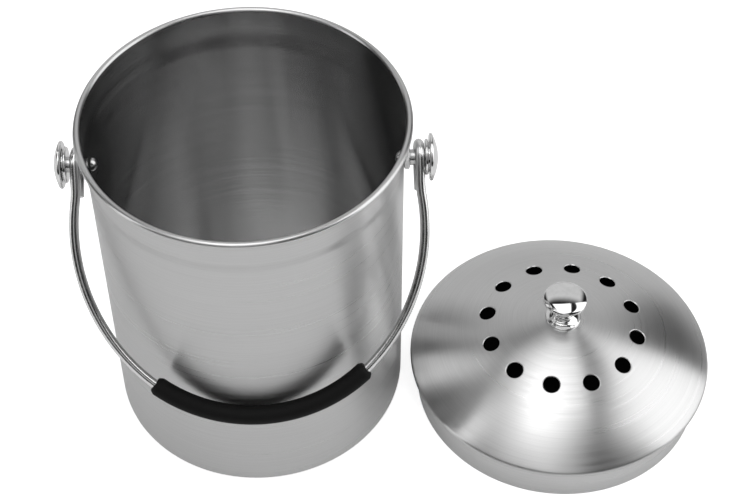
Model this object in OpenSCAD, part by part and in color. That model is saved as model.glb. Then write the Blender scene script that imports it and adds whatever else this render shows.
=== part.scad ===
// Compost pail with a swinging bail handle and a loose, vented lid standing beside it.
// Millimetres. The origin is the centre of the pail's base, +Z is up, the ears lie along X,
// and the bail hangs to the front, at -Y.

/* [Pail] */
// Height of the pail from the floor to the top of its rim
pail_h = 217; // [180:1:260]
// Outside diameter of the pail's body
body_d = 171; // [150:1:200]
// Thickness of the stainless sheet
sheet_t = 0.6; // [0.4:0.1:0.8]
// Outside radius of the corner between the wall and the bottom
corner_r = 8; // [4:0.5:14]
// How far the neck stands out from the body, on the radius
neck_step = 1.3; // [1.2:0.1:2]
// Height of the straight neck, from the rim's top down to the step
neck_h = 17; // [12:0.5:24]
// Height of the curved step between the neck and the body
step_h = 10; // [9:0.5:14]
// Diameter of the bead rolled at the rim
bead_d = 3.8; // [3:0.1:5]

/* [Ears] */
// Diameter of the ear screws
ear_screw_d = 4; // [3:0.5:5]
// Diameter of the ear screws' domed heads, inside the pail
ear_head_d = 7.6; // [7:0.1:9]
// Height of the ear screws' domed heads
ear_head_h = 3.2; // [2.4:0.1:4]
// Length of the ear screws' thread inside the ear knobs
ear_thread_l = 4.5; // [3:0.1:5]
// Outside diameter of the sealing washers inside the pail
ear_washer_d = 9; // [8:0.5:12]
// Thickness of the sealing washers
ear_washer_t = 0.8; // [0.5:0.1:1.2]
// Width of the ear nuts across their flats
ear_nut_w = 11.5; // [9:0.5:12]
// Thickness of the ear nuts
ear_nut_t = 3; // [2:0.1:4]
// Depth of the ears' axis below the neck's step
ear_drop = 5.35; // [5.3:0.05:15]
// Outside diameter of the bushes that carry the bail
bush_d = 8.6; // [8:0.1:11]
// Diameter of the ear knobs' inner discs
ear_disc_d = 20; // [15:0.2:21]
// Thickness of the ear knobs' inner discs
ear_disc_t = 1.8; // [1.2:0.1:2.5]
// Diameter of the ear knobs' domed caps
ear_cap_d = 26.2; // [20:0.2:30]
// Thickness of the ear knobs' domed caps
ear_cap_t = 5.5; // [4.5:0.1:8]

/* [Bail] */
// Diameter of the bail's wire
wire_d = 5.3; // [3.5:0.1:5.5]
// Room between the bushes and the bail's eyelets, on the radius
eye_room = 0.5; // [0.3:0.1:1]
// Room beside an eyelet on the side to which the bail has slid
eye_play = 0.15; // [0.15:0.05:1]
// How far the bail has slid along its bushes, towards the right ear
bail_slip = 0.9; // [0:0.1:2]
// Angle by which each eyelet twists, so that its tail lies inside its leg
eye_twist = 3; // [2:1:8]
// Angle that each eyelet turns past a half circle
eye_hook = 20; // [0:1:40]
// Length of the straight tail after each eyelet
tail_l = 16.8; // [8:0.1:20]
// Depth of the bail's bottom below its width, measured from the ears
bail_drop = 48.5; // [44:0.5:60]
// How much tighter the bottom bend is than the bail's half width
bend_in = 4.5; // [4:0.1:14]
// Angle at which the legs lean outwards below the eyelets
leg_lean = 8.9; // [4:0.1:10]
// Radius of the bend where the legs start to lean
lean_r = 60; // [30:1:80]
// Length of bottom bend left bare beyond each end of the grip
bare_l = 5.7; // [2:0.1:9]

/* [Grip] */
// Outside diameter of the grip
grip_d = 10.8; // [10:0.1:18]
// Length of the grip along the wire
grip_l = 128; // [100:1:135]
// How far the grip has slid along the bottom bend, towards the right ear
grip_slide = 4.5; // [0:0.5:5]
// Clearance between the grip and the wire, on the radius
grip_fit = 0.1; // [0.05:0.05:0.2]
// Gap between the resting grip and the pail's wall
grip_rest = 0.3; // [0.2:0.1:1]

/* [Lid] */
// Radius of the dome's curve
dome_r = 140; // [120:1:180]
// Radius of the rounded shoulder
shoulder_r = 3; // [2:0.1:3.6]
// Depth of the collar below the seat that rests on the pail's rim
collar_h = 22.8; // [15:0.1:23]
// Clearance between the collar and the pail's neck, on the radius
collar_play = 1; // [1:0.1:2]
// Number of vents
vent_count = 12; // [6:1:16]
// Diameter of the vents
vent_d = 9.9; // [6:0.1:14]
// Diameter of the circle that the vents stand on
vent_circle_d = 90.2; // [70:1:120]
// Direction of the first vent, from +X
vent_start = 76.5; // [0:0.5:90]
// Gap between the lid's shoulder and the pail's rim, seen from above, along X
lid_apart = 0.8; // [0:0.1:40]
// How far the lid stands in front of the pail's centre
lid_front = 13.7; // [0:0.1:40]

/* [Lid knob] */
// Diameter of the knob's head
knob_d = 25.8; // [22:0.2:32]
// Diameter of the knob's foot
foot_d = 20.8; // [18:0.2:26]
// Diameter of the knob's waist
waist_d = 10; // [8:0.2:14]
// Height of the head's widest place above the dome's crown
head_z = 16.8; // [14:0.1:24]
// Height of the head above its widest place
head_h = 3.5; // [3:0.1:8]
// Diameter of the knob's screw
knob_screw_d = 4; // [3:0.5:5]
// Depth of the screw in the knob
knob_screw_l = 9; // [5:0.5:10]
// Diameter of the knob screw's head
knob_head_d = 8; // [7:0.1:10]
// Height of the knob screw's head
knob_head_h = 2.6; // [2:0.1:4]
// Outside diameter of the washer under the dome
knob_washer_d = 12; // [11:0.5:18]
// Thickness of the washer under the dome
knob_washer_t = 0.8; // [0.5:0.1:1.5]

/* [Filter] */
// Thickness of the charcoal filter
filter_t = 10; // [6:0.5:12]
// Room around the filter inside the collar, on the radius
filter_play = 1.1; // [0.5:0.1:3]
// Width of the filter's clips
clip_w = 12; // [8:0.5:16]
// Length of each clip's arm under the filter
clip_arm = 10; // [6:0.5:14]
// Height of each clip's welded leg
clip_leg = 8; // [4:0.5:9]
// Thickness of the clips
clip_t = 0.8; // [0.5:0.1:1]

/* [Hidden] */
$fn = 96;

// Clearance of a screw in the pieces that it holds, on the radius
screw_fit = 0.05;
// Clearance of a screw in a hole in sheet, on the radius
hole_fit = 0.2;
// Gap between pieces that are screwed or welded face to face
seam = 0.02;
// Gap between the filter's edge and the dome above it
filter_drop = 0.3;

// Radii of the pail
body_r = body_d / 2;
neck_r = body_r + neck_step;
neck_in = neck_r - sheet_t;
rim_r = neck_in + bead_d;
body_in = body_r - sheet_t;
step_z = pail_h - neck_h - step_h;

// Places of the ear stack, from the pail's centre outwards
ear_z = step_z - ear_drop;
washer_x = sqrt(pow(body_in, 2) - pow(ear_washer_d / 2, 2)) - seam;
head_x = washer_x - ear_washer_t - seam;
nut_x = body_r + seam;
bush_x = nut_x + ear_nut_t + seam;
eye_r = bush_d / 2 + eye_room + wire_d / 2;
eye_shift = 2 * eye_r * sin(eye_twist);
leg_x = bush_x + eye_play + bail_slip + eye_shift + wire_d / 2;
knob_x = leg_x + wire_d / 2 + bail_slip + eye_play;
ear_tip_x = knob_x + ear_thread_l;

// The bail's line: bottom bend, side bend, lean, then straight up to the eyelet
reach = leg_x + bail_drop;
bend_r = leg_x - bend_in;
bend_a = (grip_l / 2 + bare_l) / bend_r * 180 / PI;
bend_x = bend_r * sin(bend_a);
bend_y = reach - bend_r * (1 - cos(bend_a));
side_r = (leg_x + lean_r * (1 - cos(leg_lean)) - bend_x) / (cos(leg_lean) - sin(bend_a));
side_y = bend_y - side_r * (cos(bend_a) + sin(leg_lean));
straight_l = side_y - lean_r * sin(leg_lean);

// Angle of the hanging bail from the vertical: the grip then rests in front of the wall
grip_y = body_r + grip_rest + grip_d / 2;
hang_a = asin(grip_y / norm([reach, eye_r])) - atan(eye_r / reach);

// The lid
collar_r = neck_in - collar_play;
collar_in = collar_r - sheet_t;
shoulder_z = collar_h + shoulder_r;
shoulder_x = rim_r - shoulder_r;
dome_z = shoulder_z - sqrt(pow(dome_r - shoulder_r, 2) - pow(shoulder_x, 2));
dome_a = atan2(shoulder_z - dome_z, shoulder_x);
crown_z = dome_z + dome_r;
lid_x = 2 * rim_r + lid_apart;
vent_a = asin(vent_circle_d / 2 / dome_r);

// The filter and what holds it
filter_r = collar_in - filter_play;
filter_z = dome_z + sqrt(pow(dome_r - sheet_t, 2) - pow(filter_r, 2)) - filter_drop - filter_t;
clip_x = sqrt(pow(collar_in, 2) - pow(clip_w / 2, 2)) - seam;

// The screw that holds the lid's knob
under_z = dome_z + sqrt(pow(dome_r - sheet_t, 2) - pow(knob_washer_d / 2, 2)) - seam;
screw_z = under_z - knob_washer_t - seam;

// Points of an arc about [x, y], from angle a to angle b
function arc(x, y, r, a, b, n) =
    [for (i = [0:n]) [x + r * cos(a + (b - a) * i / n), y + r * sin(a + (b - a) * i / n)]];

// Radius of the wall in the curved step, at share t of its height, for a wall that starts at r
function step_at(r, t) = [r + neck_step * t * t * (3 - 2 * t), step_z + step_h * t];

module pail_body() {
    color("silver")
    difference() {
        rotate_extrude() {
            polygon(concat(
                [[0, 0]],
                arc(body_r - corner_r, corner_r, corner_r, -90, 0, 12),
                [for (i = [0:8]) step_at(body_r, i / 8)],
                [[neck_r, pail_h - bead_d / 2], [neck_in, pail_h - bead_d / 2]],
                [for (i = [8:-1:0]) step_at(body_in, i / 8)],
                arc(body_r - corner_r, corner_r, corner_r - sheet_t, 0, -90, 12),
                [[0, sheet_t]]
            ));
            translate([rim_r - bead_d / 2, pail_h - bead_d / 2]) circle(d = bead_d);
        }
        translate([0, 0, ear_z]) rotate([0, 90, 0])
            cylinder(d = ear_screw_d + 2 * hole_fit, h = 3 * body_d, center = true);
    }
}

// Puts a piece that is drawn along +Z, from the pail's centre, on the right or left ear's axis
module at_ear(side) {
    translate([0, 0, ear_z]) rotate([0, side * 90, 0]) children();
}

module ear_screw() {
    // The dome is a little wider than the head, so that the head keeps a short straight side
    dome_d = 1.06 * ear_head_d;
    color("gainsboro") {
        translate([0, 0, head_x]) cylinder(d = ear_screw_d, h = ear_tip_x - head_x);
        translate([0, 0, head_x]) rotate_extrude()
            intersection() {
                translate([0, -ear_head_h]) square([ear_head_d / 2, ear_head_h]);
                translate([0, ear_head_d / 2 - ear_head_h]) circle(d = dome_d);
            }
    }
}

module ring(outer_d, inner_d, h) {
    difference() {
        cylinder(d = outer_d, h = h);
        translate([0, 0, -1]) cylinder(d = inner_d, h = h + 2);
    }
}

module ear_washer() {
    color("dimgray") translate([0, 0, head_x + seam])
        ring(ear_washer_d, ear_screw_d + 2 * screw_fit, ear_washer_t);
}

// A hexagon nut whose corners are turned down at both faces
module ear_nut() {
    corner = ear_nut_w / 2 / cos(30);
    face_r = ear_nut_w / 2 - 0.2;
    bevel = (corner - face_r) * tan(30);
    color("silver") translate([0, 0, nut_x]) difference() {
        intersection() {
            cylinder(r = corner, h = ear_nut_t, $fn = 6);
            rotate_extrude() polygon([
                [0, 0], [face_r, 0], [corner, bevel],
                [corner, ear_nut_t - bevel], [face_r, ear_nut_t], [0, ear_nut_t]
            ]);
        }
        translate([0, 0, -1]) cylinder(d = ear_screw_d + 2 * screw_fit, h = ear_nut_t + 2);
    }
}

module ear_bush() {
    color("gray") translate([0, 0, bush_x])
        ring(bush_d, ear_screw_d + 2 * screw_fit, knob_x - bush_x - seam);
}

// The button: an inner disc, a neck, and a cap with a rounded edge and a domed face
module ear_knob() {
    edge_r = 1.1;
    neck_h = 0.5;
    disc_r = ear_disc_d / 2;
    cap_z = ear_disc_t + neck_h;
    cap_r = ear_cap_d / 2;
    rise = ear_disc_t + ear_cap_t - cap_z - 2 * edge_r;
    face_r = (pow(cap_r - edge_r, 2) + rise * rise) / (2 * rise);
    face_a = asin((cap_r - edge_r) / face_r);
    color("whitesmoke") translate([0, 0, knob_x]) difference() {
        rotate_extrude() polygon(concat(
            [[0, 0], [disc_r - neck_h, 0]],
            arc(disc_r - ear_disc_t / 2, ear_disc_t / 2, ear_disc_t / 2, -60, 60, 6),
            [[disc_r - 3 * neck_h, ear_disc_t], [disc_r - 4 * neck_h, cap_z]],
            arc(cap_r - edge_r, cap_z + edge_r, edge_r, -90, 90 - face_a, 8),
            arc(0, cap_z + 2 * edge_r + rise - face_r, face_r, 90 - face_a, 90, 10)
        ));
        translate([0, 0, -1])
            cylinder(d = ear_screw_d + 2 * screw_fit, h = ear_thread_l + 1 + 4 * screw_fit);
    }
}

// A stretch of rod bent about Z at radius r, from angle a to b
module bent(d, r, a, b) {
    rotate([0, 0, a]) rotate_extrude(angle = b - a) translate([r, 0]) circle(d = d);
}

// Puts the bail's own plane in place: X across, Y up towards the ears, Z out from the pail
module in_bail() {
    translate([bail_slip, 0, ear_z]) rotate([90 - hang_a, 0, 0]) children();
}

// A place on the wire is [point, side, out]: its centre and the two directions of its round section.
// Places along a bend about [x, y], from angle a to b; way is -1 where the bend's centre lies outside
function bend_line(x, y, r, a, b, n, way = 1) = [
    for (i = [0:n]) let (t = a + (b - a) * i / n, d = [cos(t), sin(t), 0])
        [[x, y, eye_r] + r * d, way * d, [0, 0, 1]]
];

// Turns a direction by the eyelet's twist about the leg
function twist(v) = [
    v.x * cos(eye_twist) + v.z * sin(eye_twist), v.y, v.z * cos(eye_twist) - v.x * sin(eye_twist)
];

// One place on the eyelet, at angle a about the ears' axis, moved on by tail along the wire
function eye_place(a, tail = 0) =
    let (d = [0, cos(a), sin(a)], along = [0, sin(a), -cos(a)])
    [[leg_x, 0, eye_r] + twist(eye_r * d + tail * along - [0, 0, eye_r]), twist([1, 0, 0]), twist(d)];

// The right half of the wire, from the middle of the bottom bend to the end of the tail
half_line = concat(
    bend_line(0, bend_r - reach, bend_r, -90, bend_a - 90, 16),
    bend_line(bend_x - side_r * sin(bend_a), side_r * cos(bend_a) - bend_y, side_r,
        bend_a - 87, leg_lean, 12),
    bend_line(leg_x + lean_r, -straight_l, lean_r, 180 + leg_lean / 2, 180, 1, -1),
    [for (i = [0:16]) eye_place(90 - i * (180 + eye_hook) / 16)],
    [eye_place(-90 - eye_hook, tail_l)]
);

// The whole wire, from the left tail to the right one
function mirrored(v) = [-v.x, v.y, v.z];
wire_line = concat(
    [for (i = [len(half_line) - 1:-1:1]) [for (v = half_line[i]) mirrored(v)]],
    half_line
);

// A round rod along a line of places
module rod(line, d, sides) {
    last = len(line) - 1;
    polyhedron(
        points = [for (p = line, k = [0:sides - 1])
            p[0] + d / 2 * (cos(360 * k / sides) * p[1] + sin(360 * k / sides) * p[2])],
        faces = concat(
            [[for (k = [sides - 1:-1:0]) k], [for (k = [0:sides - 1]) last * sides + k]],
            [for (i = [0:last - 1], k = [0:sides - 1], half = [0, 1])
                let (a = i * sides + k, b = i * sides + (k + 1) % sides)
                half == 0 ? [a, b, b + sides] : [a, b + sides, a + sides]]
        )
    );
}

module bail_wire() {
    color("lightgray") in_bail() rod(wire_line, wire_d, 16);
}

module bail_grip() {
    half_a = grip_l / 2 / bend_r * 180 / PI;
    slide_a = grip_slide / bend_r * 180 / PI;
    color("#202020") in_bail() translate([0, -reach + bend_r, eye_r]) rotate([0, 0, slide_a - 90])
        difference() {
            bent(grip_d, bend_r, -half_a, half_a);
            bent(wire_d + 2 * grip_fit, bend_r, -half_a - 4, half_a + 4);
        }
}

module at_lid() {
    translate([lid_x, -lid_front, 0]) children();
}

module lid_dome() {
    color("silver") at_lid() difference() {
        rotate_extrude() polygon(concat(
            arc(0, dome_z, dome_r, 90, dome_a, 16),
            arc(shoulder_x, shoulder_z, shoulder_r, dome_a, -90, 12),
            [[collar_r + seam, collar_h], [collar_r + seam, collar_h + sheet_t]],
            arc(shoulder_x, shoulder_z, shoulder_r - sheet_t, -90, dome_a, 12),
            arc(0, dome_z, dome_r - sheet_t, dome_a, 90, 16)
        ));
        for (i = [0:vent_count - 1]) translate([0, 0, dome_z])
            rotate([0, 0, vent_start + i * 360 / vent_count]) rotate([0, vent_a, 0])
                translate([0, 0, dome_r - 10]) cylinder(d = vent_d, h = 20);
        translate([0, 0, crown_z - 10]) cylinder(d = knob_screw_d + 2 * hole_fit, h = 20);
    }
}

module lid_collar() {
    color("silver") at_lid() ring(2 * collar_r, 2 * collar_in, collar_h + sheet_t);
}

// The mushroom knob, drawn from the crown of the dome upwards, its foot cut to the dome
module lid_knob() {
    foot_r = foot_d / 2;
    waist_r = waist_d / 2;
    head_r = knob_d / 2;
    // Radii of the two beads on the waist, and of the head's edge
    bead_r = 0.7;
    edge_r = 0.8;
    // Heights of the foot's edge, of its slope and of the two beads above the crown
    foot_h = 0.9;
    slope_h = 2.1;
    low_z = 3;
    high_z = 8;
    // Height of the head's cone-shaped underside
    under_h = 5.5;
    color("whitesmoke") at_lid() difference() {
        translate([0, 0, crown_z]) rotate_extrude() polygon(concat(
            [[0, -2], [foot_r, -2], [foot_r, foot_h - 0.5], [foot_r - 0.5, foot_h]],
            [[waist_r + 3 * bead_r, slope_h], [waist_r + bead_r, slope_h + bead_r / 2]],
            arc(waist_r + bead_r / 2, low_z + bead_r / 2, bead_r, -30, 90, 5),
            [[waist_r - bead_r / 2, low_z + 3 * bead_r], [waist_r - bead_r / 2, high_z - 3 * bead_r]],
            arc(waist_r + bead_r / 2, high_z - bead_r, bead_r, -90, 50, 5),
            [[waist_r + 3 * bead_r, head_z - under_h]],
            arc(head_r - edge_r, head_z - 0.3, edge_r, -52, -8, 6),
            [for (a = [0:9:90]) [head_r * cos(a), head_z + head_h * sin(a)]]
        ));
        translate([0, 0, dome_z]) sphere(r = dome_r + seam);
        translate([0, 0, crown_z - 5])
            cylinder(d = knob_screw_d + 2 * screw_fit, h = knob_screw_l + 5.5);
    }
}

module knob_washer() {
    color("silver") at_lid() translate([0, 0, screw_z + seam])
        ring(knob_washer_d, knob_screw_d + 2 * screw_fit, knob_washer_t);
}

module knob_screw() {
    color("gainsboro") at_lid() {
        translate([0, 0, screw_z - knob_head_h]) difference() {
            cylinder(d = knob_head_d, h = knob_head_h);
            translate([0, 0, -1]) for (turn = [0, 90])
                rotate([0, 0, turn]) translate([-knob_head_d / 4, -0.5, 0])
                    cube([knob_head_d / 2, 1, 1 + knob_head_h / 2]);
        }
        translate([0, 0, screw_z - 0.1])
            cylinder(d = knob_screw_d, h = crown_z + knob_screw_l - screw_z);
    }
}

module charcoal_filter() {
    color("#181818") at_lid() translate([0, 0, filter_z]) cylinder(r = filter_r, h = filter_t);
}

module filter_clips() {
    arm_z = filter_z - seam - clip_t;
    color("silver") at_lid() for (turn = [45:90:315]) rotate([0, 0, turn]) {
        translate([clip_x - clip_arm, -clip_w / 2, arm_z]) cube([clip_arm, clip_w, clip_t]);
        translate([clip_x - clip_t, -clip_w / 2, arm_z - clip_leg])
            cube([clip_t, clip_w, clip_leg + clip_t]);
    }
}

pail_body();
at_ear(-1) ear_screw();  // left_ear_screw
at_ear(1) ear_screw();  // right_ear_screw
at_ear(-1) ear_washer();  // left_ear_washer
at_ear(1) ear_washer();  // right_ear_washer
at_ear(-1) ear_nut();  // left_ear_nut
at_ear(1) ear_nut();  // right_ear_nut
at_ear(-1) ear_bush();  // left_ear_bush
at_ear(1) ear_bush();  // right_ear_bush
at_ear(-1) ear_knob();  // left_ear_knob
at_ear(1) ear_knob();  // right_ear_knob
bail_wire();
bail_grip();
lid_dome();
lid_collar();
lid_knob();
knob_washer();
knob_screw();
charcoal_filter();
filter_clips();
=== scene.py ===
"""Looks of a stainless compost pail with a bail handle, and its loose vented lid beside it.

Sizes are in millimetres, as in the part's source, and each mesh is brought to metres at its end.
"""
import math

import bmesh
import bpy
from mathutils import Matrix, Vector


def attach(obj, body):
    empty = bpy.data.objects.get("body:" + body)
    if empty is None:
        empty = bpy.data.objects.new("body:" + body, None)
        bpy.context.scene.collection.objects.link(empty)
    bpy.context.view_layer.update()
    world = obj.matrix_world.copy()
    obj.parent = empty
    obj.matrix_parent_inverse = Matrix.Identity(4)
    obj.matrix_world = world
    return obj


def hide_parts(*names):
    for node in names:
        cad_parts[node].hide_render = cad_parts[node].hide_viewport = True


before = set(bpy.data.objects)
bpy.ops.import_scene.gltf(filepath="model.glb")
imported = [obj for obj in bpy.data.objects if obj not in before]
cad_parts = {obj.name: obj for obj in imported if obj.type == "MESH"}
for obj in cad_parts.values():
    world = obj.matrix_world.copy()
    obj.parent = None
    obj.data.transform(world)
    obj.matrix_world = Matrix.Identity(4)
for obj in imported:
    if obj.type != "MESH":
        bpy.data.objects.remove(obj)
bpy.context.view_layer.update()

MM = 0.001
UP = Vector((0, 0, 1))

# Sheet, screws and the gap between faces that are screwed together
SHEET = 0.6
SCREW_R = 2
THREAD_R = SCREW_R + 0.05
SCREW_HOLE_R = SCREW_R + 0.2
SEAM = 0.02

# The pail
PAIL_H = 217
BODY_R = 85.5
CORNER_R = 8
NECK_STEP = 1.3
NECK_H = 17
STEP_H = 10
STEP_Z = PAIL_H - NECK_H - STEP_H
BEAD_R = 1.9
NECK_IN = BODY_R + NECK_STEP - SHEET
RIM_R = NECK_IN + 2 * BEAD_R
ROUND_STEPS = 192

# The ears
EAR_DROP = 5.35
EAR_Z = STEP_Z - EAR_DROP
EAR_NUT_T = 3
BUSH_X = BODY_R + EAR_NUT_T + 2 * SEAM
EAR_DISC_R = 10
EAR_DISC_T = 1.8
EAR_CAP_R = 13.1
EAR_CAP_T = 5.5
EAR_BORE_L = 4.7

# The bail, in its own plane: X across, Y up to the ears, Z out from the pail
WIRE_R = 2.65
EYE_BORE_R = 4.8
EYE_R = EYE_BORE_R + WIRE_R
EYE_PLAY = 0.15
EYE_TWIST = 3
EYE_HOOK = 20
TAIL_L = 16.8
BAIL_SLIP = 0.9
EYE_SHIFT = 2 * EYE_R * math.sin(math.radians(EYE_TWIST))
LEG_X = BUSH_X + EYE_PLAY + BAIL_SLIP + EYE_SHIFT + WIRE_R
KNOB_X = LEG_X + WIRE_R + BAIL_SLIP + EYE_PLAY
BAIL_DROP = 48.5
REACH = LEG_X + BAIL_DROP
BEND_IN = 4.5
BEND_R = LEG_X - BEND_IN
LEG_LEAN = 8.9
LEAN_R = 60
GRIP_R = 5.4
GRIP_L = 128
GRIP_SLIDE = 4.5
GRIP_FIT = 0.1
GRIP_BORE = WIRE_R + GRIP_FIT
BARE_L = 5.7
GRIP_REST = 0.3
GRIP_Y = BODY_R + GRIP_REST + GRIP_R

# The lid
LID_APART = 0.8
LID_FRONT = 13.7
LID_PLACE = Matrix.Translation((2 * RIM_R + LID_APART, -LID_FRONT, 0))
DOME_R = 140
SHOULDER_R = 3
COLLAR_H = 22.8
COLLAR_PLAY = 1
COLLAR_R = NECK_IN - COLLAR_PLAY
SHOULDER_X = RIM_R - SHOULDER_R
SHOULDER_Z = COLLAR_H + SHOULDER_R
DOME_Z = SHOULDER_Z - math.sqrt((DOME_R - SHOULDER_R) ** 2 - SHOULDER_X ** 2)
DOME_A = math.degrees(math.atan2(SHOULDER_Z - DOME_Z, SHOULDER_X))
CROWN_Z = DOME_Z + DOME_R
VENT_COUNT = 12
VENT_R = 4.95
VENT_CIRCLE_R = 45.1
VENT_START = 76.5
FILTER_PLAY = 1.1
FILTER_R = COLLAR_R - SHEET - FILTER_PLAY
FILTER_T = 10
FILTER_DROP = 0.3
FILTER_TOP = DOME_Z + math.sqrt((DOME_R - SHEET) ** 2 - FILTER_R ** 2) - FILTER_DROP

# The part of a noise's values that a finish spreads its greys and roughness over
NOISE_LOW = 0.3
NOISE_HIGH = 0.7

# The studio's light where no lamp shines
DARK_ROOM = 0.02


def sin(a):
    return math.sin(math.radians(a))


def cos(a):
    return math.cos(math.radians(a))


def arc(x, y, r, a, b, n):
    """Points of an arc about (x, y), from angle a to angle b."""
    angles = [a + (b - a) * i / n for i in range(n + 1)]
    return [(x + r * cos(t), y + r * sin(t)) for t in angles]


def turned(points, steps=ROUND_STEPS, closed=False):
    """Turns an outline of (radius, height) points about Z."""
    bm = bmesh.new()
    corners = [bm.verts.new((r, 0, z)) for r, z in points]
    ends = corners[1:] + corners[:1] * closed
    for pair in zip(corners, ends):
        bm.edges.new(pair)
    bmesh.ops.spin(
        bm, geom=bm.verts[:] + bm.edges[:], cent=(0, 0, 0), axis=UP,
        angle=2 * math.pi, steps=steps, use_merge=True,
    )
    bmesh.ops.remove_doubles(bm, verts=bm.verts[:], dist=0.001)
    bmesh.ops.recalc_face_normals(bm, faces=bm.faces[:])
    return bm


def add_piece(name, bm, body, finish, nodes, place=Matrix(), sharp=40):
    """Puts a finished mesh in its place, in metres, on its body."""
    bmesh.ops.transform(bm, matrix=place, verts=bm.verts[:])
    bmesh.ops.scale(bm, vec=(MM, MM, MM), verts=bm.verts[:])
    for face in bm.faces:
        face.smooth = True
    for edge in bm.edges:
        edge.smooth = not edge.is_manifold or edge.calc_face_angle() < math.radians(sharp)
    mesh = bpy.data.meshes.new(name)
    bm.to_mesh(mesh)
    bm.free()
    mesh.materials.append(finish)
    piece = bpy.data.objects.new(name, mesh)
    bpy.context.collection.objects.link(piece)
    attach(piece, body)
    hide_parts(*nodes)
    return piece


def middle_of(edges):
    """The mean place of the ends of some edges."""
    return sum((v.co for e in edges for v in e.verts), Vector()) / (2 * len(edges))


def open_hole(bm, centre, axis, steps, reach, fit):
    """Takes a patch out of a skin and draws its edge in through (radius, depth) steps to a round hole.

    The reach picks the patch's faces, and fit puts a point on the skin.
    """
    aim = axis.normalized()

    def off_axis(point):
        away = point - centre
        return away - aim * away.dot(aim)

    patch = [f for f in bm.faces if reach(f.calc_center_median())]
    bmesh.ops.delete(bm, geom=patch, context="FACES")
    near = 3 * steps[-1][0]
    rim = [e for e in bm.edges if e.is_boundary and (middle_of([e]) - centre).length < near]
    for radius, depth in steps:
        made = bmesh.ops.extrude_edge_only(bm, edges=rim)["geom"]
        for v in made:
            if isinstance(v, bmesh.types.BMVert):
                v.co = fit(centre + off_axis(v.co).normalized() * radius) - aim * depth
        rim = [e for e in made if isinstance(e, bmesh.types.BMEdge) and e.is_boundary]


def thicken(bm):
    """Turns a skin so that its middle looks up, and gives it its sheet thickness below that."""
    nearest = min(bm.faces, key=lambda f: f.calc_center_median().xy.length)
    if nearest.normal.z <= 0:
        bmesh.ops.reverse_faces(bm, faces=bm.faces[:])
    bmesh.ops.solidify(bm, geom=bm.faces[:], thickness=SHEET)


def make_pail_shell(finish, painted_shade_inside):
    """The drawn sheet: its inner skin from the middle of the bottom up to the curl of the rim."""
    inner_r = BODY_R - SHEET
    steps = [i / 12 for i in range(13)]
    # A few rows of faces up the wall, and close ones at the ears' height for the screw holes' patches
    row_h = 1.4
    rows = [EAR_Z + row_h * i for i in (-2, -1, 0, 1, 2)]
    points = [(0, SHEET), (25, SHEET), (55, SHEET)]
    points += arc(BODY_R - CORNER_R, CORNER_R, CORNER_R - SHEET, -90, 0, 12)
    points += [(inner_r, z) for z in [10, 60, 120, 170] + rows]
    points += [(inner_r + NECK_STEP * t * t * (3 - 2 * t), STEP_Z + STEP_H * t) for t in steps]
    points += [(NECK_IN, z) for z in (202, 208)]
    points += arc(NECK_IN + BEAD_R, PAIL_H - BEAD_R, BEAD_R, 180, -128, 26)
    bm = turned(points)

    def on_wall(point):
        level = Vector((point.x, point.y, 0)).normalized() * inner_r
        return Vector((level.x, level.y, point.z))

    screw_hole = [(SCREW_HOLE_R + 0.2, 0), (SCREW_HOLE_R, 0)]
    for side in (-1, 1):
        centre = Vector((side * inner_r, 0, EAR_Z))

        def in_patch(point):
            beside = point - centre
            return abs(beside.x) < 20 and abs(beside.y) < 2 * row_h and abs(beside.z) < 2 * row_h

        open_hole(bm, centre, Vector((1, 0, 0)), screw_hole, in_patch, on_wall)
    thicken(bm)
    # Faces inside the pail take the second finish, whose darker grey is painted shade.
    for face in bm.faces:
        middle = face.calc_center_median()
        level = Vector((middle.x, middle.y, 0))
        inner_wall = face.normal.dot(level) < 0 and level.length < NECK_IN + 0.1
        inner_bottom = face.normal.z > 0.5 and middle.z < 2
        face.material_index = int(inner_wall or inner_bottom)
    shell = add_piece("pail_shell", bm, "pail", finish, ["pail_body"])
    shell.data.materials.append(painted_shade_inside)


def make_lid_shell(finish):
    """The spun dome with its shoulder and seat flange, and the punched vents."""
    crown = Vector((0, 0, DOME_Z))
    vent_a = math.degrees(math.asin(VENT_CIRCLE_R / DOME_R))
    # Half the patch that each vent is cut from: down the dome, and round it
    patch_a = math.degrees(6.3 / DOME_R)
    patch_turn = 8.6
    hole_a = math.degrees(math.asin(SCREW_HOLE_R / DOME_R))
    # A vent's edge rolls inwards: how far out from the vent, and how deep
    roll = [(0.7, 0), (0.55, 0), (0.4, 0.04), (0.2, 0.15), (0, 0.45)]
    rolled = [(VENT_R + wide, depth) for wide, depth in roll]
    slopes = [hole_a, 2, 4, 6, 8, 10, 12, 14]
    slopes += [vent_a + patch_a * i / 4 for i in range(-4, 5)]
    slopes += [23, 25, 27, 29, 31, 33, 35, 36.5, 37.6, 38.3, 38.9]
    points = [(DOME_R * sin(a), DOME_Z + DOME_R * cos(a)) for a in slopes]
    points += arc(SHOULDER_X, SHOULDER_Z, SHOULDER_R, DOME_A, -90, 16)
    points += [(COLLAR_R + SHEET, COLLAR_H), (COLLAR_R + 0.02, COLLAR_H)]
    bm = turned(points)

    def on_dome(point):
        return crown + (point - crown).normalized() * DOME_R

    for i in range(VENT_COUNT):
        turn = VENT_START + i * 360 / VENT_COUNT
        aim = Vector((sin(vent_a) * cos(turn), sin(vent_a) * sin(turn), cos(vent_a)))
        ahead = Vector((cos(turn), sin(turn), 0))

        def in_patch(point):
            flat = Vector((point.x, point.y, 0))
            slope = math.degrees(math.asin(flat.length / DOME_R))
            return math.degrees(flat.angle(ahead)) < patch_turn and abs(slope - vent_a) < patch_a

        open_hole(bm, crown + aim * DOME_R, aim, rolled, in_patch, on_dome)
    thicken(bm)
    add_piece("lid_shell", bm, "lid", finish, ["lid_dome"], LID_PLACE)


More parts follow.
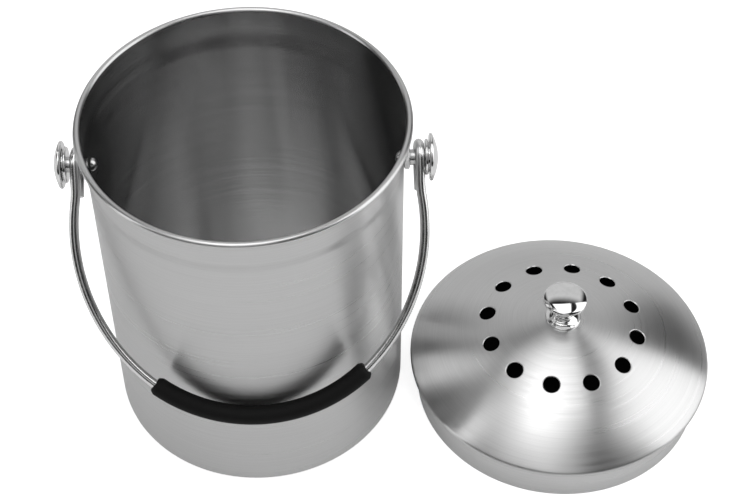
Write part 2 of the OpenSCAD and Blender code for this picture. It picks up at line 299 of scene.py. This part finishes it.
def rounded_ring(outer_r, inner_r, low, high, round_r):
    """The outline of a ring with rounded edges."""
    return (
        arc(outer_r - round_r, low + round_r, round_r, -90, 0, 4)
        + arc(outer_r - round_r, high - round_r, round_r, 0, 90, 4)
        + arc(inner_r + round_r, high - round_r, round_r, 90, 180, 4)
        + arc(inner_r + round_r, low + round_r, round_r, 180, 270, 4)
    )


def make_lid_ring(finish):
    """The collar that drops into the pail's neck."""
    outline = rounded_ring(COLLAR_R, COLLAR_R - SHEET, 0, COLLAR_H + SHEET, 0.2)
    add_piece("lid_ring", turned(outline, closed=True), "lid", finish,
              ["lid_collar"], LID_PLACE)


def make_lid_button(finish):
    """The mushroom knob: foot, beaded waist, cone under the head and domed top, with its screw's bore."""
    foot_r = 10.4
    waist_r = 5
    head_r = 12.9
    bead_x = waist_r + 0.35
    bead_r = 0.7
    edge_r = 0.8
    foot_edge_r = 0.5
    groove_r = 0.9
    cone_r = 2.6
    # Heights above the crown: the bore's end, the beads, the head's widest place, and its top above that
    bore_l = 9
    low_z = 3
    high_z = 8
    head_z = 16.8
    head_h = 3.5
    seat = [foot_r * t for t in (0.25, 0.5, 0.8, 1)]
    points = [(THREAD_R, bore_l), (THREAD_R, SEAM)]
    points += [(r, math.sqrt(DOME_R ** 2 - r ** 2) - DOME_R + SEAM) for r in seat]
    points += arc(foot_r - foot_edge_r, 0.4, foot_edge_r, 0, 80, 6)
    # The foot slopes up to the low bead
    points += [(9, 1.1), (8, 1.5), (7.4, 1.9), (7.1, 2.1), (6.5, 2.3)]
    points += arc(bead_x, low_z + bead_r / 2, bead_r, -30, 90, 8)
    points += arc(bead_x, (low_z + high_z) / 2, groove_r, 255, 105, 8)
    points += arc(bead_x, high_z - bead_r, bead_r, -90, 70, 8)
    # The cone under the head starts in a hollow curve
    points += arc(waist_r + 1 + cone_r, high_z + 0.4, cone_r, 170, 120, 6)
    points += arc(head_r - edge_r, head_z - 0.3, edge_r, -52, -8, 8)
    points += [(head_r * cos(a), head_z + head_h * sin(a)) for a in range(0, 91, 5)]
    bm = turned(points + [(0, bore_l)], 128)
    place = LID_PLACE @ Matrix.Translation((0, 0, CROWN_Z))
    add_piece("lid_button", bm, "lid", finish, ["lid_knob"], place, 50)


def at_ear(side):
    """The place of a piece that is turned about Z, on the right or the left ear's axis."""
    return Matrix.Translation((0, 0, EAR_Z)) @ Matrix.Rotation(side * math.pi / 2, 4, "Y")


def make_ear_button(name, side, finish):
    """The button on an ear: an inner disc, a short neck and a domed cap."""
    edge_r = 1.1
    neck_l = 0.5
    cap_z = EAR_DISC_T + neck_l
    rise = EAR_DISC_T + EAR_CAP_T - cap_z - 2 * edge_r
    face_r = ((EAR_CAP_R - edge_r) ** 2 + rise * rise) / (2 * rise)
    face_a = math.degrees(math.asin((EAR_CAP_R - edge_r) / face_r))
    points = [(0, EAR_BORE_L), (THREAD_R, EAR_BORE_L), (THREAD_R, 0)]
    points += arc(EAR_DISC_R - EAR_DISC_T / 2, EAR_DISC_T / 2, EAR_DISC_T / 2, -90, 90, 12)
    points += [(EAR_DISC_R - 1.7, EAR_DISC_T + 0.1), (EAR_DISC_R - 1.9, cap_z - 0.1)]
    points += arc(EAR_CAP_R - edge_r, cap_z + edge_r, edge_r, -90, 90 - face_a, 16)
    points += arc(0, cap_z + 2 * edge_r + rise - face_r, face_r, 90 - face_a, 90, 14)[1:]
    place = at_ear(side) @ Matrix.Translation((0, 0, KNOB_X))
    add_piece(name + "_ear_button", turned(points, 96), "pail", finish,
              [name + "_ear_knob"], place, 50)


def hang():
    """The place of the bail, hanging at rest against the front of the pail."""
    far = math.hypot(REACH, EYE_R)
    angle = math.asin(GRIP_Y / far) - math.atan(EYE_R / REACH)
    return Matrix.Translation((BAIL_SLIP, 0, EAR_Z)) @ Matrix.Rotation(math.pi / 2 - angle, 4, "X")


def bend_places():
    """The bail's bends on its right half: (centre x, centre y, first angle, last angle, steps)."""
    bend_a = math.degrees((GRIP_L / 2 + BARE_L) / BEND_R)
    bend_x = BEND_R * sin(bend_a)
    bend_y = REACH - BEND_R * (1 - cos(bend_a))
    side_r = (LEG_X + LEAN_R * (1 - cos(LEG_LEAN)) - bend_x) / (cos(LEG_LEAN) - sin(bend_a))
    side_y = bend_y - side_r * (cos(bend_a) + sin(LEG_LEAN))
    straight = side_y - LEAN_R * sin(LEG_LEAN)
    return [
        (0, BEND_R - REACH, -90, bend_a - 90, 40),
        (bend_x - side_r * sin(bend_a), side_r * cos(bend_a) - bend_y, bend_a - 90, LEG_LEAN, 40),
        (LEG_X + LEAN_R, -straight, 180 + LEG_LEAN, 180, 8),
    ]


def spin_end(bm, ring, centre, axis, angle, steps):
    """Bends a rod's open end on about an axis, and gives its new end."""
    made = bmesh.ops.spin(
        bm, geom=ring, cent=centre, axis=axis, angle=math.radians(angle), steps=steps,
    )["geom_last"]
    return [g for g in made if isinstance(g, bmesh.types.BMEdge)]


def push_end(bm, ring, move, grow=1.0):
    """Draws a rod's open end straight on, and grows or shrinks it about its middle."""
    made = bmesh.ops.extrude_edge_only(bm, edges=ring)["geom"]
    tips = [g for g in made if isinstance(g, bmesh.types.BMVert)]
    middle = sum((v.co for v in tips), Vector()) / len(tips)
    for v in tips:
        v.co = middle + (v.co - middle) * grow + move
    tip_set = set(tips)
    return [g for g in made if isinstance(g, bmesh.types.BMEdge) and set(g.verts) <= tip_set]


def make_bail_rod(finish):
    """The bent wire: half of it from the middle of the bottom bend to the tail, then its mirror."""
    bm = bmesh.new()
    start = Matrix.Translation((0, -REACH, EYE_R)) @ Matrix.Rotation(math.pi / 2, 4, "Y")
    bmesh.ops.create_circle(bm, segments=24, radius=WIRE_R, matrix=start)
    ring = bm.edges[:]
    for x, y, first, last, steps in bend_places():
        ring = spin_end(bm, ring, (x, y, 0), UP, last - first, steps)
    ring = push_end(bm, ring, Vector((0, -middle_of(ring).y, 0)))
    twist = Matrix.Rotation(math.radians(EYE_TWIST), 3, "Y")
    pivot = Vector((LEG_X, 0, EYE_R)) + twist @ Vector((0, 0, -EYE_R))
    ring = spin_end(bm, ring, pivot, twist @ Vector((1, 0, 0)), -180 - EYE_HOOK, 40)
    away = twist @ Vector((0, -cos(EYE_HOOK), sin(EYE_HOOK)))
    bevel = 0.4
    bevel_grow = 0.84
    ring = push_end(bm, ring, away * (TAIL_L - bevel))
    ring = push_end(bm, ring, away * bevel, bevel_grow)
    bmesh.ops.edgeloop_fill(bm, edges=ring)
    bmesh.ops.mirror(bm, geom=bm.verts[:] + bm.edges[:] + bm.faces[:], merge_dist=0.01, axis="X")
    bmesh.ops.remove_doubles(bm, verts=bm.verts[:], dist=0.01)
    bmesh.ops.recalc_face_normals(bm, faces=bm.faces[:])
    add_piece("bail_rod", bm, "bail", finish, ["bail_wire"], hang())


def make_hand_grip(finish):
    """The moulded grip: a thick tube on the bottom bend, with bevelled ends and an open bore."""
    half_a = math.degrees(GRIP_L / 2 / BEND_R)
    bend = Vector((0, BEND_R - REACH, EYE_R))
    bm = bmesh.new()
    start = (
        Matrix.Translation(bend) @ Matrix.Rotation(math.radians(-half_a), 4, "Z")
        @ Matrix.Translation((0, -BEND_R, 0)) @ Matrix.Rotation(math.pi / 2, 4, "Y")
    )
    bmesh.ops.create_circle(bm, segments=48, radius=GRIP_BORE, matrix=start)
    ahead = Vector((cos(half_a), -sin(half_a), 0))
    steps = [(3.9, 0.0), (4.1, 0.1), (5.0, 1.5), (5.3, 2.1), (GRIP_R, 2.9)]
    ring = bm.edges[:]
    size = GRIP_BORE
    past = 0
    for r, z in steps:
        ring = push_end(bm, ring, ahead * (z - past), r / size)
        size = r
        past = z
    bevel_a = math.degrees(past / BEND_R)
    # The pushed end is straight, so it is brought back on to the bend
    middle = middle_of(ring)
    slip = bend + (middle - bend).normalized() * BEND_R - middle
    bmesh.ops.translate(bm, vec=slip, verts=list({v for e in ring for v in e.verts}))
    ring = spin_end(bm, ring, bend, UP, 2 * (half_a - bevel_a), 60)
    ahead = Vector((cos(half_a), sin(half_a), 0))
    for (r, z), (_, next_z) in zip(steps[-2::-1] + [(GRIP_BORE, 0)], steps[::-1]):
        ring = push_end(bm, ring, ahead * (next_z - z), r / size)
        size = r
    ring = spin_end(bm, ring, bend, UP, -2 * half_a, 60)
    bmesh.ops.remove_doubles(bm, verts=bm.verts[:], dist=0.05)
    bmesh.ops.recalc_face_normals(bm, faces=bm.faces[:])
    slide = Matrix.Rotation(GRIP_SLIDE / BEND_R, 3, "Z")
    bmesh.ops.rotate(bm, cent=bend, matrix=slide, verts=bm.verts[:])
    add_piece("hand_grip", bm, "bail", finish, ["bail_grip"], hang())


def make_charcoal_pad(finish):
    """The filter disc, with rounded edges."""
    rings = [4 * i for i in range(21)]
    edge_r = 1.2
    low = FILTER_TOP - FILTER_T
    points = [(r, low) for r in rings]
    points += arc(FILTER_R - edge_r, low + edge_r, edge_r, -90, 0, 4)
    points += arc(FILTER_R - edge_r, FILTER_TOP - edge_r, edge_r, 0, 90, 4)
    points += [(r, FILTER_TOP) for r in rings[::-1]]
    add_piece("charcoal_pad", turned(points, 128), "lid", finish,
              ["charcoal_filter"], LID_PLACE)


class Finish:
    """A material's node tree, and short ways to add to it."""

    def __init__(self, name):
        self.material = bpy.data.materials.new(name)
        self.material.use_nodes = True
        self.tree = self.material.node_tree
        self.shader = self.tree.nodes["Principled BSDF"]

    def node(self, kind, **settings):
        made = self.tree.nodes.new("ShaderNode" + kind)
        for key, value in settings.items():
            setattr(made, key, value)
        return made

    def link(self, source, target):
        self.tree.links.new(source, target)

    def plain(self, **values):
        """Sets the shader's sockets, with underscores for the spaces in their names."""
        for key, value in values.items():
            self.shader.inputs[key.replace("_", " ")].default_value = value

    def math(self, operation, first, second=None):
        made = self.node("Math", operation=operation)
        for socket, value in zip(made.inputs, (first, second)):
            if isinstance(value, (int, float)):
                socket.default_value = value
            elif value is not None:
                self.link(value, socket)
        return made.outputs[0]

    def noise(self, vector, scale, detail=2.0, roughness=0.5):
        made = self.node("TexNoise")
        made.inputs["Scale"].default_value = scale
        made.inputs["Detail"].default_value = detail
        made.inputs["Roughness"].default_value = roughness
        self.link(vector, made.inputs["Vector"])
        return made.outputs["Fac"]

    def spread(self, value, low, high):
        """A number from low to high over the middle of a noise's values."""
        made = self.node("MapRange")
        numbers = (("From Min", NOISE_LOW), ("From Max", NOISE_HIGH), ("To Min", low), ("To Max", high))
        for name, number in numbers:
            made.inputs[name].default_value = number
        self.link(value, made.inputs["Value"])
        return made.outputs["Result"]

    def grey(self, value, low, high):
        """A grey from low to high over the middle of a noise's values."""
        ramp = self.node("ValToRGB")
        ramp.color_ramp.elements[0].position = NOISE_LOW
        ramp.color_ramp.elements[1].position = NOISE_HIGH
        ramp.color_ramp.elements[0].color = (low, low, low, 1)
        ramp.color_ramp.elements[1].color = (high, high, high, 1)
        self.link(value, ramp.inputs["Fac"])
        return ramp.outputs["Color"]

    def bump(self, height, strength, distance):
        made = self.node("Bump")
        made.inputs["Strength"].default_value = strength
        made.inputs["Distance"].default_value = distance
        self.link(height, made.inputs["Height"])
        self.link(made.outputs["Normal"], self.shader.inputs["Normal"])

    def about_axis(self, x, y):
        """Object coordinates about the upright axis at (x, y), in millimetres."""
        where = self.node("TexCoord")
        move = self.node("Mapping")
        move.inputs["Location"].default_value = (-x, -y, 0)
        move.inputs["Scale"].default_value = (1 / MM, 1 / MM, 1 / MM)
        self.link(where.outputs["Object"], move.inputs["Vector"])
        return move.outputs["Vector"]


def brushed_steel(name, axis, colour, roughness, stretch, spun=False):
    """Steel brushed round an upright axis: fine lines run round it, and glints spread across them."""
    # How fast the noise changes round the axis, and to the millimetre across the lines
    along = 1.2
    thick = 3.0
    steel = Finish(name)
    place = steel.about_axis(axis.x, axis.y)
    parts = steel.node("SeparateXYZ")
    steel.link(place, parts.inputs[0])
    turn = steel.math("ARCTAN2", parts.outputs["Y"], parts.outputs["X"])
    flat = steel.node("CombineXYZ")
    steel.link(parts.outputs["X"], flat.inputs["X"])
    steel.link(parts.outputs["Y"], flat.inputs["Y"])
    radius = steel.node("VectorMath", operation="LENGTH")
    steel.link(flat.outputs[0], radius.inputs[0])
    lines = steel.node("CombineXYZ")
    steel.link(steel.math("MULTIPLY", steel.math("COSINE", turn), along), lines.inputs["X"])
    steel.link(steel.math("MULTIPLY", steel.math("SINE", turn), along), lines.inputs["Y"])
    across = radius.outputs["Value"] if spun else parts.outputs["Z"]
    steel.link(steel.math("MULTIPLY", across, thick), lines.inputs["Z"])
    fine = steel.noise(lines.outputs[0], 1.0, 3.0, 0.6)
    broad = steel.noise(lines.outputs[0], 0.2, 2.0)
    low, high = colour
    steel.link(steel.grey(fine, low, high), steel.shader.inputs["Base Color"])
    steel.link(steel.spread(broad, roughness - 0.03, roughness + 0.03), steel.shader.inputs["Roughness"])
    steel.plain(Metallic=1.0, Anisotropic=stretch, Anisotropic_Rotation=0.25)
    round_way = steel.node("VectorMath", operation="CROSS_PRODUCT")
    round_way.inputs[0].default_value = (0, 0, 1)
    steel.link(flat.outputs[0], round_way.inputs[1])
    even = steel.node("VectorMath", operation="NORMALIZE")
    steel.link(round_way.outputs[0], even.inputs[0])
    steel.link(even.outputs[0], steel.shader.inputs["Tangent"])
    steel.bump(fine, 0.01, 0.0002)
    return steel.material


def plated(name, colour, roughness):
    """Bright plated metal, with the faintest ripple in its polish."""
    metal = Finish(name)
    place = metal.about_axis(0, 0)
    ripple = metal.noise(place, 0.25, 2.0)
    low, high = colour
    metal.link(metal.grey(ripple, low, high), metal.shader.inputs["Base Color"])
    metal.link(metal.spread(ripple, roughness * 0.8, roughness * 1.25), metal.shader.inputs["Roughness"])
    metal.plain(Metallic=1.0)
    metal.bump(ripple, 0.02, 0.0002)
    return metal.material


def moulded(name, colour, roughness, grain, depth):
    """Moulded black: fine grain and a soft sheen."""
    plastic = Finish(name)
    plastic.plain(Specular_IOR_Level=0.12)
    place = plastic.about_axis(0, 0)
    speck = plastic.noise(place, grain, 3.0)
    low, high = colour
    plastic.link(plastic.grey(speck, low, high), plastic.shader.inputs["Base Color"])
    plastic.link(plastic.spread(speck, roughness - 0.06, roughness + 0.06),
                 plastic.shader.inputs["Roughness"])
    plastic.bump(speck, 0.25, depth)
    return plastic.material


def make_pieces():
    """Every piece with its finish."""
    lid = LID_PLACE.translation
    wall = brushed_steel("brushed_wall", Vector(), (0.61, 0.68), 0.30, 0.75)
    # The inside is the same steel brushed finer, with lower roughness and more stretch. Its grey is a little
    # darker than the wall's, as painted shade deep in the pail.
    painted_shade_inside = brushed_steel("brushed_inside_painted_shade", Vector(), (0.56, 0.65), 0.22, 0.95)
    ring = brushed_steel("brushed_ring", lid, (0.68, 0.75), 0.30, 0.75)
    dome = brushed_steel("spun_dome", lid, (0.61, 0.68), 0.30, 0.75, spun=True)
    chrome = plated("plated_chrome", (0.80, 0.88), 0.05)
    wire = plated("polished_rod", (0.76, 0.86), 0.2)
    screw = plated("turned_steel", (0.55, 0.65), 0.25)
    grip = moulded("moulded_grip", (0.004, 0.007), 0.6, 6.0, 0.0001)
    rubber = moulded("sealing_rubber", (0.02, 0.03), 0.7, 8.0, 0.0001)
    charcoal = moulded("charcoal_felt", (0.002, 0.012), 0.95, 1.6, 0.001)
    make_pail_shell(wall, painted_shade_inside)
    make_bail_rod(wire)
    make_hand_grip(grip)
    make_lid_shell(dome)
    make_lid_ring(ring)
    make_lid_button(chrome)
    make_charcoal_pad(charcoal)
    for name, side in (("left", -1), ("right", 1)):
        make_ear_button(name, side, chrome)
    # The small turned and stamped pieces show as the CAD part made them
    kept = {
        "ear_screw": screw, "ear_nut": screw, "ear_bush": screw, "ear_washer": rubber,
        "knob_washer": screw, "knob_screw": screw, "filter_clips": ring,
    }
    for node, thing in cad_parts.items():
        for ending, finish in kept.items():
            if node.endswith(ending):
                for slot in thing.material_slots:
                    slot.material = finish


class Studio:
    """The world's light: white behind the object, and a plain soft studio all round it."""

    def __init__(self):
        self.world = bpy.data.worlds.new("studio")
        bpy.context.scene.world = self.world
        self.world.use_nodes = True
        self.tree = self.world.node_tree
        self.tree.nodes.clear()
        self.way = self.tree.nodes.new("ShaderNodeTexCoord").outputs["Generated"]
        self.level = DARK_ROOM

    def math(self, operation, first, second):
        made = self.tree.nodes.new("ShaderNodeMath")
        made.operation = operation
        for socket, value in zip(made.inputs, (first, second)):
            if isinstance(value, (int, float)):
                socket.default_value = value
            else:
                self.tree.links.new(value, socket)
        return made.outputs[0]

    def towards(self, direction):
        """The cosine of the angle between a ray and a direction."""
        made = self.tree.nodes.new("ShaderNodeVectorMath")
        made.operation = "DOT_PRODUCT"
        self.tree.links.new(self.way, made.inputs[0])
        made.inputs[1].default_value = Vector(direction).normalized()
        return made.outputs["Value"]

    def ease(self, value, start, end, amount):
        made = self.tree.nodes.new("ShaderNodeMapRange")
        made.interpolation_type = "SMOOTHSTEP"
        numbers = (("From Min", start), ("From Max", end), ("To Min", 0), ("To Max", amount))
        for name, number in numbers:
            made.inputs[name].default_value = number
        self.tree.links.new(value, made.inputs["Value"])
        return made.outputs["Result"]

    def add(self, value):
        self.level = self.math("ADD", self.level, value)

    def glow(self, direction, outer, inner, amount):
        """A soft round light about a direction, from its outer to its inner angle."""
        self.add(self.ease(self.towards(direction), cos(outer), cos(inner), amount))

    def panel(self, compass, height, half_width, half_height, soft, amount):
        """A soft box, hung at a compass angle from +X and a height over the floor, in degrees."""
        middle = Vector((cos(height) * cos(compass), cos(height) * sin(compass), sin(height)))
        across = Vector((-sin(compass), cos(compass), 0))
        off_side = self.math("ABSOLUTE", self.towards(across), 0)
        off_level = self.math("ABSOLUTE", self.towards(middle.cross(across)), 0)
        wide = self.ease(off_side, sin(half_width + soft), sin(half_width - soft), 1)
        tall = self.ease(off_level, sin(half_height + soft), sin(half_height - soft), amount)
        ahead = self.ease(self.towards(middle), 0, 0.2, 1)
        self.add(self.math("MULTIPLY", self.math("MULTIPLY", wide, tall), ahead))

    def finish(self):
        """Shows white to the camera, and the lights to everything else."""
        nodes = self.tree.nodes
        path = nodes.new("ShaderNodeLightPath")
        shown = self.math("MAXIMUM", path.outputs["Is Camera Ray"], path.outputs["Is Transmission Ray"])
        mix = nodes.new("ShaderNodeMix")
        mix.data_type = "FLOAT"
        self.tree.links.new(shown, mix.inputs["Factor"])
        self.tree.links.new(self.level, mix.inputs["A"])
        mix.inputs["B"].default_value = 1.0
        light = nodes.new("ShaderNodeBackground")
        light.inputs["Color"].default_value = (1, 1, 1, 1)
        self.tree.links.new(mix.outputs["Result"], light.inputs["Strength"])
        out = nodes.new("ShaderNodeOutputWorld")
        self.tree.links.new(light.outputs[0], out.inputs["Surface"])


def make_studio():
    """Soft boxes overhead and on the right, two strips on the left, and dimmer walls behind and in front."""
    studio = Studio()
    # Overhead: a box straight above, and a round glow towards the front left
    studio.panel(-174, 89, 21, 16, 2, 1.7)
    studio.glow((-0.247, -0.356, 0.902), 30, 3, 1.08)
    # The tall box on the right
    studio.panel(0, 15, 23, 47, 2, 1.57)
    # The strips on the left, one a little in front of the pail and one behind it
    studio.panel(-166, 26, 9, 28, 3, 1.3)
    studio.panel(150, 28, 4, 22, 2, 1.2)
    # The wall behind, and the one in front
    studio.panel(88, 29, 33, 29, 8, 0.6)
    studio.panel(-90, 38, 13, 16, 5, 0.42)
    studio.finish()
    fill = bpy.data.lights.new("front_fill", "AREA")
    fill.size = 1.6
    fill.energy = 14
    lamp = bpy.data.objects.new("front_fill", fill)
    lamp.location = (0.2, -1.4, 1.5)
    lamp.rotation_euler = (math.radians(44), 0, 0)
    # It lights the grip, the rubber, the felt and the floor, and leaves no patch of its own in the metal
    lamp.visible_glossy = False
    bpy.context.collection.objects.link(lamp)


def make_floor():
    """A plain pale floor that keeps a soft shadow of the object, and glows a little for the camera."""
    bm = bmesh.new()
    bmesh.ops.create_grid(bm, x_segments=8, y_segments=8, size=4)
    mesh = bpy.data.meshes.new("floor")
    bm.to_mesh(mesh)
    bm.free()
    floor = bpy.data.objects.new("floor", mesh)
    bpy.context.collection.objects.link(floor)
    paper = Finish("white_paper")
    paper.plain(Base_Color=(0.75, 0.75, 0.75, 1), Roughness=0.9, Specular_IOR_Level=0.0)
    path = paper.node("LightPath")
    lift = paper.node("Emission")
    paper.link(paper.math("MULTIPLY", path.outputs["Is Camera Ray"], 0.7), lift.inputs["Strength"])
    both = paper.node("AddShader")
    paper.link(paper.shader.outputs[0], both.inputs[0])
    paper.link(lift.outputs[0], both.inputs[1])
    paper.link(both.outputs[0], paper.tree.nodes["Material Output"].inputs["Surface"])
    mesh.materials.append(paper.material)


def make_camera():
    """The photograph's view."""
    data = bpy.data.cameras.new("camera")
    data.lens = 84.51
    data.sensor_width = 36
    data.clip_start = 0.05
    data.clip_end = 20
    camera = bpy.data.objects.new("camera", data)
    camera.location = (0.04934, -0.66627, 0.87252)
    camera.rotation_euler = (math.radians(41.056), 0, math.radians(-1.75))
    bpy.context.collection.objects.link(camera)
    bpy.context.scene.camera = camera


make_camera()
make_studio()
make_floor()
make_pieces()
bpy.context.scene.view_settings.view_transform = "Standard"
